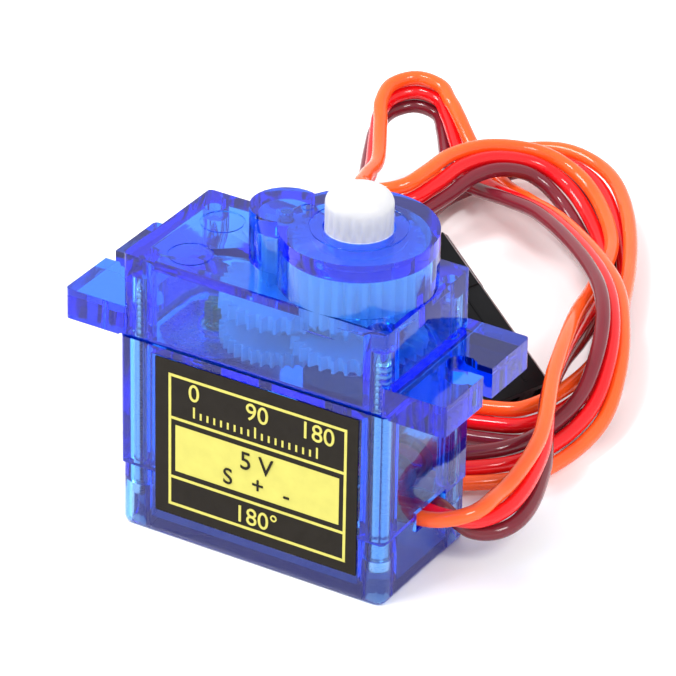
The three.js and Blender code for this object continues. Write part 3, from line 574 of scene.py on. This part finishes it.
def ring_groove_into(build, x, y, z, radius):
    """A fine round line in a face that looks up at height z."""
    depth = 0.00006
    half_width = 0.00006
    spare = 0.0002
    count = 64
    inner = radius - half_width
    outer = radius + half_width
    rings_into(build, [
        circle(x, y, z - depth, inner, count), circle(x, y, z + spare, inner, count),
        circle(x, y, z + spare, outer, count), circle(x, y, z - depth, outer, count),
    ], closed=True)


def top_cover():
    """The upper shell, with the round marks that its mould left."""
    cover = copy_of("top_cover", "case_top")
    marks = bmesh.new()
    for x, y in EJECTOR_PLACES:
        ring_groove_into(marks, x, y, ROOF_Z, EJECTOR_RADIUS)
    ring_groove_into(marks, OUTPUT_X, 0, BOSS_Z, BOSS_RING_RADIUS)
    ring_groove_into(marks, GATE_X, GATE_Y, BOSS_Z, GATE_RADIUS)
    carve(cover, marks)
    round_edges(cover, COVER_ROUNDING, 3)
    stand_for(cover, "top_cover")


def lower_shell(node, name, rounding):
    """One of the two plain shells under the top cover."""
    shell = copy_of(node, name)
    round_edges(shell, rounding)
    stand_for(shell, node)


# ---- screws -----------------------------------------------------------------------------

SCREW_HEAD_HEIGHT = 0.001
SCREW_SHANK_RADIUS = 0.00057
SCREW_POINT_LENGTH = 0.0008
SCREW_RECESS_DEPTH = 0.0004
THREAD_DEPTH = 0.0001
THREAD_PITCH = 0.0005
SCREW_SIDES = 20


def screw_head(x, y, foot, radius):
    """The rings of a pan head that faces down, with a round, slightly tapered recess."""
    recess = foot + SCREW_RECESS_DEPTH
    shoulder = foot + SCREW_HEAD_HEIGHT - 0.00002
    profile = (
        (0.0001, recess),
        (0.35 * radius, recess),
        (0.45 * radius, foot),
        (0.8 * radius, foot),
        (0.93 * radius, foot + 0.0001),
        (radius, foot + 0.00028),
        (radius, shoulder))
    return [circle(x, y, z, r, SCREW_SIDES) for r, z in profile]


def screw_shank(x, y, foot, tip):
    """The rings of a shank that is plain up to the deck and threaded above it."""
    steps_per_turn = 8
    crest_width = 0.28
    blunt = 0.15
    steps = int((tip - foot) / (THREAD_PITCH / steps_per_turn))
    rings = []
    for step in range(steps + 1):
        z = foot + (tip - foot) * step / steps
        taper = min(1.0, (tip - z) / SCREW_POINT_LENGTH + blunt)
        depth = THREAD_DEPTH if z > DECK_Z else 0.0
        ring = []
        for i in range(SCREW_SIDES):
            turn = i / SCREW_SIDES
            phase = ((z - foot) / THREAD_PITCH - turn) % 1.0
            crest = max(0.0, 1.0 - abs(phase - 0.5) / crest_width)
            radius = taper * (SCREW_SHANK_RADIUS - depth * (1 - crest))
            angle = 2 * math.pi * turn
            ring.append((x + radius * math.cos(angle), y + radius * math.sin(angle), z))
        rings.append(ring)
    return rings


def case_screw(corner):
    """A long pan-head screw up from below, whose thread is one helix."""
    node = f"case_screw_{corner}"
    low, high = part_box(node)
    x = (low[0] + high[0]) / 2
    y = (low[1] + high[1]) / 2
    head_radius = (high[0] - low[0]) / 2
    build = bmesh.new()
    rings_into(
        build,
        screw_head(x, y, low[2], head_radius)
        + screw_shank(x, y, low[2] + SCREW_HEAD_HEIGHT, high[2]))
    stand_for(finish_mesh(build, f"screw_{corner}"), node)


# ---- the output gear --------------------------------------------------------------------

GEAR_TEETH = 30
# The output wheel meshes with a 10-tooth gear on the idler pin.
GEAR_MODULE = 2 * (OUTPUT_X - IDLER_X) / (GEAR_TEETH + 10)
GEAR_TIP = (GEAR_TEETH / 2 + 0.8) * GEAR_MODULE
GEAR_ROOT = (GEAR_TEETH / 2 - 1.05) * GEAR_MODULE
GEAR_CHAMFER = 0.00012
DRUM_TOP = BOSS_Z - 0.0019
COLLAR_RADIUS = 0.0035
COLLAR_HEIGHT = 0.0002
SPLINE_RADIUS = 0.0025
SPLINE_TEETH = 21
SPLINE_DEPTH = 0.0001
STUB_CROWN = 0.001
SHAFT_BORE_RADIUS = 0.00085
SHAFT_BORE_DEPTH = 0.0015
NEARLY_A_POINT = 0.00005
GEAR_SIDES = 420


def plain_ring(z, radius):
    """A round ring on the output's axis."""
    return circle(OUTPUT_X, 0, z, radius, GEAR_SIDES)


def toothed_ring(z, inset=0.0):
    """A ring with straight-sided teeth, whose tips may stand back for a chamfer."""
    half_tip = 0.1
    flank = 0.21
    ring = []
    for i in range(GEAR_SIDES):
        turn = i / GEAR_SIDES
        phase = (turn * GEAR_TEETH - 0.5) % 1.0
        ramp = (abs(phase - 0.5) - half_tip) / flank
        radius = GEAR_TIP - inset - (GEAR_TIP - GEAR_ROOT) * min(max(1 - ramp, 0.0), 1.0)
        angle = 2 * math.pi * turn
        ring.append((OUTPUT_X + radius * math.cos(angle), radius * math.sin(angle), z))
    return ring


def splined_ring(z, depth):
    """A ring of the stub, whose splines are waves of this depth."""
    ring = []
    for i in range(GEAR_SIDES):
        angle = 2 * math.pi * i / GEAR_SIDES
        wave = 0.5 - 0.5 * math.cos(SPLINE_TEETH * angle)
        radius = SPLINE_RADIUS - depth * wave
        ring.append((OUTPUT_X + radius * math.cos(angle), radius * math.sin(angle), z))
    return ring


def drum_rings(foot):
    """The bored and toothed drum, its collar and the plain neck in the boss."""
    bore_top = foot + SHAFT_BORE_DEPTH
    collar_top = DRUM_TOP + COLLAR_HEIGHT
    neck_top = BOSS_Z - 0.0002
    return [
        plain_ring(bore_top, NEARLY_A_POINT),
        plain_ring(bore_top, SHAFT_BORE_RADIUS),
        plain_ring(foot, SHAFT_BORE_RADIUS),
        toothed_ring(foot, GEAR_CHAMFER),
        toothed_ring(foot + GEAR_CHAMFER),
        toothed_ring(DRUM_TOP - GEAR_CHAMFER),
        toothed_ring(DRUM_TOP, GEAR_CHAMFER),
        plain_ring(DRUM_TOP, COLLAR_RADIUS + 0.0003),
        plain_ring(DRUM_TOP, COLLAR_RADIUS),
        plain_ring(collar_top, COLLAR_RADIUS),
        plain_ring(collar_top, SPLINE_RADIUS),
        plain_ring(neck_top, SPLINE_RADIUS)]


def stub_rings(top):
    """The splined stub above the boss, whose splines run out under its domed end."""
    straight_top = top - STUB_CROWN
    crown_steps = 7
    rings = []
    for part in (0.0, 0.1, 0.4, 0.7, 1.0):
        z = BOSS_Z + part * (straight_top - BOSS_Z)
        fade = min(1.0, part * 10) * (1 - max(0.0, part - 0.55) / 0.5)
        rings.append(splined_ring(z, SPLINE_DEPTH * fade))
    for step in range(1, crown_steps + 1):
        angle = step * math.pi / 2 / crown_steps
        rings.append(plain_ring(
            straight_top + STUB_CROWN * math.sin(angle),
            SPLINE_RADIUS - STUB_CROWN * (1 - math.cos(angle))))
    rings.append(plain_ring(top, NEARLY_A_POINT))
    return rings


def output_gear():
    """The drum, its collar and the splined stub in one moulding; above the boss the stub wears a
    darker copy of the same nylon, painted shade that tones down the stronger light it gets outside
    the case.
    """
    low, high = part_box("output_gear")
    build = bmesh.new()
    rings_into(build, drum_rings(low[2]) + stub_rings(high[2]))
    moulding = stand_for(finish_mesh(build, "output_moulding"), "output_gear")
    # Painted shade: a darker copy of the nylon for the stub above the boss, which gets more light
    # than the gears inside the case.
    moulding.data.materials.append(MATERIALS["painted_shade_nylon"])
    for face in moulding.data.polygons:
        if face.center.z > BOSS_Z:
            face.material_index = 1


# ---- the label --------------------------------------------------------------------------

label_low, label_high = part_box("front_label")
LABEL_FACE = label_low[1]
LABEL_ROUNDING = 0.00004
PRINT_DEPTH = 0.00003
# Lettering on the yellow panel stands this many print depths out of the label.
PANEL_LETTER_LIFT = 2.2
LINE_WIDTH = 0.00022
PRINT_LEFT = label_low[0] + 0.0012
PRINT_RIGHT = label_high[0] - 0.0009
PRINT_MIDDLE = (PRINT_LEFT + PRINT_RIGHT) / 2
PRINT_FOOT = label_low[2] + 0.0009
PRINT_TOP = label_high[2] - 0.00105
PANEL_FOOT = 0.0060
PANEL_TOP = 0.0099
PANEL_INSET = 0.0006
RULE_GAP = 0.00045
LOWER_RULE = PANEL_FOOT - RULE_GAP
UPPER_RULE = PANEL_TOP + RULE_GAP
SCALE_LEFT = PRINT_LEFT + 0.0022
SCALE_RIGHT = PRINT_RIGHT - 0.0025
TICK_FOOT = UPPER_RULE + 0.00062
TICK_COUNT = 19
TICKS_PER_NUMBER = 9
TICK_HALF_WIDTH = 0.00008
LONG_TICK = 0.0009
SHORT_TICK = 0.00055


def print_bar(build, low, high):
    """A printed rectangle on the label, from one corner (x, z) to the other."""
    box_into(
        build,
        (low[0], LABEL_FACE - PRINT_DEPTH, low[1]),
        (high[0], LABEL_FACE + PRINT_DEPTH, high[1]))


def print_text(name, words, size, x, z, material, lift=1):
    """Raised lettering, centred on x, with its foot at z."""
    text = bpy.data.curves.new(name, "FONT")
    text.body = words
    text.size = size
    text.align_x = "CENTER"
    text.extrude = PRINT_DEPTH
    source = add_object("lettering", text)
    bpy.context.view_layer.update()
    mesh = bpy.data.meshes.new_from_object(
        source.evaluated_get(bpy.context.evaluated_depsgraph_get()))
    bpy.data.objects.remove(source)
    place = Matrix.Translation((x, LABEL_FACE - lift * PRINT_DEPTH, z))
    mesh.transform(place @ Matrix.Rotation(math.pi / 2, 4, "X"))
    add_to(add_object(name, mesh), "case", "label", material)


def label_lines():
    """The printed frame with its two rules, the yellow panel and the scale's ticks."""
    build = bmesh.new()
    print_bar(build, (PRINT_LEFT, PRINT_FOOT), (PRINT_LEFT + LINE_WIDTH, PRINT_TOP))
    print_bar(build, (PRINT_RIGHT - LINE_WIDTH, PRINT_FOOT), (PRINT_RIGHT, PRINT_TOP))
    for z in (PRINT_FOOT, LOWER_RULE - LINE_WIDTH, UPPER_RULE, PRINT_TOP - LINE_WIDTH):
        print_bar(
            build, (PRINT_LEFT + LINE_WIDTH, z), (PRINT_RIGHT - LINE_WIDTH, z + LINE_WIDTH))
    print_bar(build, (PRINT_LEFT + PANEL_INSET, PANEL_FOOT), (PRINT_RIGHT - PANEL_INSET, PANEL_TOP))
    for tick in range(TICK_COUNT):
        x = SCALE_LEFT + (SCALE_RIGHT - SCALE_LEFT) * tick / (TICK_COUNT - 1)
        height = SHORT_TICK if tick % TICKS_PER_NUMBER else LONG_TICK
        print_bar(build, (x - TICK_HALF_WIDTH, TICK_FOOT), (x + TICK_HALF_WIDTH, TICK_FOOT + height))
    add_to(finish_mesh(build, "label_lines"), "case", "label", "label_print")


def label():
    """A black sticker with a pale yellow frame, a travel scale and plain ratings."""
    sticker = copy_of("front_label", "sticker")
    round_edges(sticker, LABEL_ROUNDING)
    stand_for(sticker, "front_label")
    label_lines()
    number_foot = TICK_FOOT + 0.0014
    print_text("scale_0", "0", 0.002, SCALE_LEFT, number_foot, "label_print")
    print_text("scale_90", "90", 0.002, PRINT_MIDDLE, number_foot, "label_print")
    print_text("scale_180", "180", 0.002, SCALE_RIGHT, number_foot, "label_print")
    print_text(
        "rating_volts", "5 V", 0.0021, PRINT_MIDDLE, PANEL_TOP - 0.0018, "label",
        PANEL_LETTER_LIFT)
    print_text(
        "rating_poles", "S   +   -", 0.0019, PRINT_MIDDLE, PANEL_FOOT + 0.0004, "label",
        PANEL_LETTER_LIFT)
    print_text("travel", "180°", 0.002, PRINT_MIDDLE, PRINT_FOOT + 0.0005, "label_print")


# ---- the connector ----------------------------------------------------------------------

# The shoulder's distance from the wire end, and how far the housing steps back beyond it.
SHOULDER_LENGTH = 0.0052
SHOULDER_STEP = 0.00028
HOUSING_CHAMFER = 0.0009
HOUSING_ROUNDING = 0.0001
RIB_HALF_WIDTH = 0.0001
CUTTER_SPARE = 0.002


def connector_axes():
    """The connector's own axes: X towards the mouth, Z out of its upper face."""
    mouth = next(m for m in frame["record"]["mounts"] if m["name"] == "connector_mouth")
    along = Vector(mouth["axis"]).normalized()
    across = Vector((0, 0, 1)).cross(along).normalized()
    up = along.cross(across)
    turn = Matrix((along, across, up)).transposed().to_4x4()
    low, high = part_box("connector_contact_2")
    contact = (Vector(low) + Vector(high)) / 2
    return Matrix.Translation(contact) @ turn


def cut_connector(housing, axes, low, high):
    """Steps the housing back beyond its shoulder and chamfers its upper edges."""
    shoulder = low.x + SHOULDER_LENGTH
    half = HOUSING_CHAMFER / math.sqrt(2)
    cutters = bmesh.new()
    for side in (-1, 1):
        edge = side * high.y
        inner = edge - side * SHOULDER_STEP
        outer = edge + side * CUTTER_SPARE
        box_into(
            cutters, (shoulder, min(inner, outer), low.z - CUTTER_SPARE),
            (high.x + CUTTER_SPARE, max(inner, outer), high.z + CUTTER_SPARE), axes)
        corner = Matrix.Translation((0, edge, high.z)) @ Matrix.Rotation(math.pi / 4, 4, "X")
        box_into(
            cutters, (low.x - CUTTER_SPARE, -half, -half), (high.x + CUTTER_SPARE, half, half),
            axes @ corner)
    box_into(
        cutters, (shoulder, low.y - CUTTER_SPARE, high.z - 0.5 * SHOULDER_STEP),
        (high.x + CUTTER_SPARE, high.y + CUTTER_SPARE, high.z + CUTTER_SPARE), axes)
    carve(housing, cutters)


def paint_chamfer_highlight(housing, axes):
    """Gives the housing's upper slanted faces a lighter grey plastic: a painted highlight where the
    chamfers catch the light.
    """
    housing.data.materials.append(MATERIALS["chamfer_highlight_plastic"])
    turn = axes.to_3x3().inverted()
    for face in housing.data.polygons:
        normal = turn @ face.normal
        if normal.z > 0.5 and abs(normal.y) > 0.5:
            face.material_index = 1


def connector_ribs(axes, low, high):
    """The two fine ribs between the three ways, along the upper face."""
    foot = high.z - 0.6 * SHOULDER_STEP
    top = high.z - 0.35 * SHOULDER_STEP
    start = low.x + SHOULDER_LENGTH + 0.0006
    end = high.x - 0.0008
    ribs = bmesh.new()
    for side in (-1, 1):
        y = side * CONNECTOR_PITCH / 2
        box_into(ribs, (start, y - RIB_HALF_WIDTH, foot), (end, y + RIB_HALF_WIDTH, top), axes)
    add_to(finish_mesh(ribs, "connector_ribs"), "case", "black_plastic")


def connector():
    """The three-way housing: a shoulder at its wire end, chamfered upper edges and ribs."""
    axes = connector_axes()
    housing = copy_of("connector_housing", "connector_shell")
    local = [axes.inverted() @ vertex.co for vertex in housing.data.vertices]
    low = Vector([min(point[k] for point in local) for k in range(3)])
    high = Vector([max(point[k] for point in local) for k in range(3)])
    cut_connector(housing, axes, low, high)
    stand_for(housing, "connector_housing")
    paint_chamfer_highlight(housing, axes)
    round_edges(housing, HOUSING_ROUNDING)
    connector_ribs(axes, low, high)


# ---- inside -----------------------------------------------------------------------------

LEGS_PER_SIDE = 7
LEG_HALF_WIDTH = 0.00011
LEG_REACH = 0.0007
RESISTOR_PLACES = (
    (0.0022, -0.0032), (0.0038, -0.0032), (0.0054, -0.0032),
    (0.0022, 0.0008), (0.0046, 0.0024), (-0.0008, -0.0026))
POT_LEADS = (1, 2, 3)
SOLDER_X = 0.0069
# A solder joint's cone, as (radius, height above the board).
SOLDER_PROFILE = ((0.0007, 0.0), (0.0006, 0.00012), (0.0004, 0.0003), (0.0003, 0.00042))


def chip_legs():
    """The bent legs down both sides of the control chip, to the board's underside."""
    low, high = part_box("control_chip")
    board_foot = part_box("control_board")[0][2]
    leg_foot = board_foot - 0.0004
    leg_top = board_foot - 0.0003
    build = bmesh.new()
    for side, edge in ((-1, low[1]), (1, high[1])):
        reach = edge + side * LEG_REACH
        leg_range = sorted((edge - side * 0.0001, reach))
        foot_range = sorted((reach - side * 0.0001, reach + side * 0.0003))
        for leg in range(LEGS_PER_SIDE):
            x = low[0] + (leg + 0.5) * (high[0] - low[0]) / LEGS_PER_SIDE
            left = x - LEG_HALF_WIDTH
            right = x + LEG_HALF_WIDTH
            box_into(build, (left, leg_range[0], leg_foot), (right, leg_range[1], leg_top))
            box_into(build, (left, foot_range[0], leg_foot), (right, foot_range[1], board_foot))
    add_to(finish_mesh(build, "chip_legs"), "case", "board", "solder")


def chip_resistors(top):
    """Small chip resistors on the board, with metal ends that stand a little proud."""
    bodies = bmesh.new()
    ends = bmesh.new()
    for x, y in RESISTOR_PLACES:
        box_into(bodies, (x - 0.0003, y - 0.00025, top), (x + 0.0003, y + 0.00025, top + 0.0003))
        for side in (-1, 1):
            end = x + side * 0.00038
            box_into(
                ends, (end - 0.00008, y - 0.00027, top), (end + 0.00008, y + 0.00027, top + 0.00032))
    add_to(finish_mesh(bodies, "chip_resistors"), "case", "board", "black_plastic")
    add_to(finish_mesh(ends, "resistor_ends"), "case", "board", "solder")


def solder_joints(top):
    """A cone of solder where each of the potentiometer's wires meets the board."""
    joints = bmesh.new()
    for index in POT_LEADS:
        lead_low, lead_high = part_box(f"pot_lead_{index}")
        y = (lead_low[1] + lead_high[1]) / 2
        profile = [(radius, top + height) for radius, height in SOLDER_PROFILE]
        turned_into(joints, SOLDER_X, y, profile, 20)
    add_to(finish_mesh(joints, "solder_joints"), "case", "board", "solder")


def board_parts():
    """What stands on top of the control board."""
    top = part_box("control_board")[1][2]
    chip_resistors(top)
    solder_joints(top)


ROUNDING = {
    "third_gear": 0.00003,
    "second_gear": 0.00003,
    "first_gear": 0.00003,
    "motor_pinion": 0.00002,
    "idler_pin": 0.00008,
    "motor_can": 0.0004,
    "motor_end_cap": 0.0001,
    "pot_housing": 0.0003,
    "smoothing_capacitor": 0.0002,
    "control_chip": 0.00005,
    "control_board": 0.00003,
    "armature_coil_1": 0.0002,
    "armature_coil_2": 0.0002,
    "armature_coil_3": 0.0002,
}
PLAIN_ROUNDING = 0.00003


def other_nodes():
    """Every other node in its own shape, with smooth round faces and eased edges."""
    for node in SLOT_OF:
        if node not in replaced and not node.startswith("wire_"):
            piece = copy_of(node, f"{node}_finished")
            round_edges(piece, ROUNDING.get(node, PLAIN_ROUNDING))
            stand_for(piece, node)


def lead():
    """The three wires, each a free cord from the case to the connector."""
    for name, side in WIRE_SIDES.items():
        wire = make_wire(f"lead_{name}", side)
        stand_for(wire, f"wire_{name}")


top_cover()
lower_shell("middle_case", "case_middle", MIDDLE_ROUNDING)
lower_shell("bottom_cover", "case_bottom", BOTTOM_ROUNDING)
for corner in ("front_left", "front_right", "back_left", "back_right"):
    case_screw(corner)
label()
output_gear()
connector()
chip_legs()
board_parts()
other_nodes()
lead()


# ---- floor and light --------------------------------------------------------------------

FLOOR_REACH = 3.0
# The sine of the elevation that the backdrop reaches, how softly it ends, and the radiance of
# it and of the room.
BACKDROP_TOP = 0.6
BACKDROP_FADE = 0.2
BACKDROP_LIGHT = 1.05
ROOM_LIGHT = 0.85
LIGHT_TARGET = Vector((0, 0, 0.012))
MOST_BOUNCES = 32


def make_floor():
    """A wide pale floor under the servo."""
    mesh = bpy.data.meshes.new("floor")
    corners = [
        (-FLOOR_REACH, -FLOOR_REACH, 0), (FLOOR_REACH, -FLOOR_REACH, 0),
        (FLOOR_REACH, FLOOR_REACH, 0), (-FLOOR_REACH, FLOOR_REACH, 0)]
    mesh.from_pydata(corners, [], [(0, 1, 2, 3)])
    floor = add_object("floor", mesh)
    material, tree, shader, _ = new_material("floor")
    tree.links.new(
        blend_colours(tree, noise(tree, 30), (0.93, 0.93, 0.94), (0.96, 0.96, 0.965)),
        shader.inputs["Base Color"])
    shader.inputs["Roughness"].default_value = 0.5
    mesh.materials.append(material)


def make_world():
    """A pale backdrop round the horizon under a darker room."""
    world = bpy.data.worlds.new("studio")
    world.use_nodes = True
    tree = world.node_tree
    place = tree.nodes.new("ShaderNodeTexCoord")
    split = tree.nodes.new("ShaderNodeSeparateXYZ")
    tree.links.new(place.outputs["Generated"], split.inputs["Vector"])
    level = tree.nodes.new("ShaderNodeMapRange")
    level.interpolation_type = "SMOOTHSTEP"
    level.inputs["From Min"].default_value = BACKDROP_TOP
    level.inputs["From Max"].default_value = BACKDROP_TOP + BACKDROP_FADE
    level.inputs["To Min"].default_value = BACKDROP_LIGHT
    level.inputs["To Max"].default_value = ROOM_LIGHT
    tree.links.new(split.outputs["Z"], level.inputs["Value"])
    background = tree.nodes["Background"]
    background.inputs["Color"].default_value = (1, 1, 1, 1)
    tree.links.new(level.outputs["Result"], background.inputs["Strength"])
    bpy.context.scene.world = world


def make_softbox(name, place, size, power):
    """A square area light that faces the object."""
    data = bpy.data.lights.new(name, "AREA")
    data.shape = "SQUARE"
    data.size = size
    data.energy = power
    lamp = add_object(name, data)
    lamp.location = place
    lamp.rotation_mode = "QUATERNION"
    aim = LIGHT_TARGET - Vector(place)
    lamp.rotation_quaternion = aim.to_track_quat("-Z", "Y")


make_floor()
make_world()
make_softbox("softbox_top", (-0.12, -0.22, 0.6), 0.15, 1.8)
make_softbox("softbox_left", (-0.35, -0.1, 0.3), 0.16, 1.1)
make_softbox("softbox_right", (0.3, -0.12, 0.35), 0.14, 0.9)

# Light crosses many clear walls before it comes out of the case.
bpy.context.scene.cycles.max_bounces = MOST_BOUNCES
bpy.context.scene.cycles.transmission_bounces = MOST_BOUNCES
bpy.context.scene.cycles.transparent_max_bounces = MOST_BOUNCES
bpy.context.scene.view_settings.view_transform = "Standard"
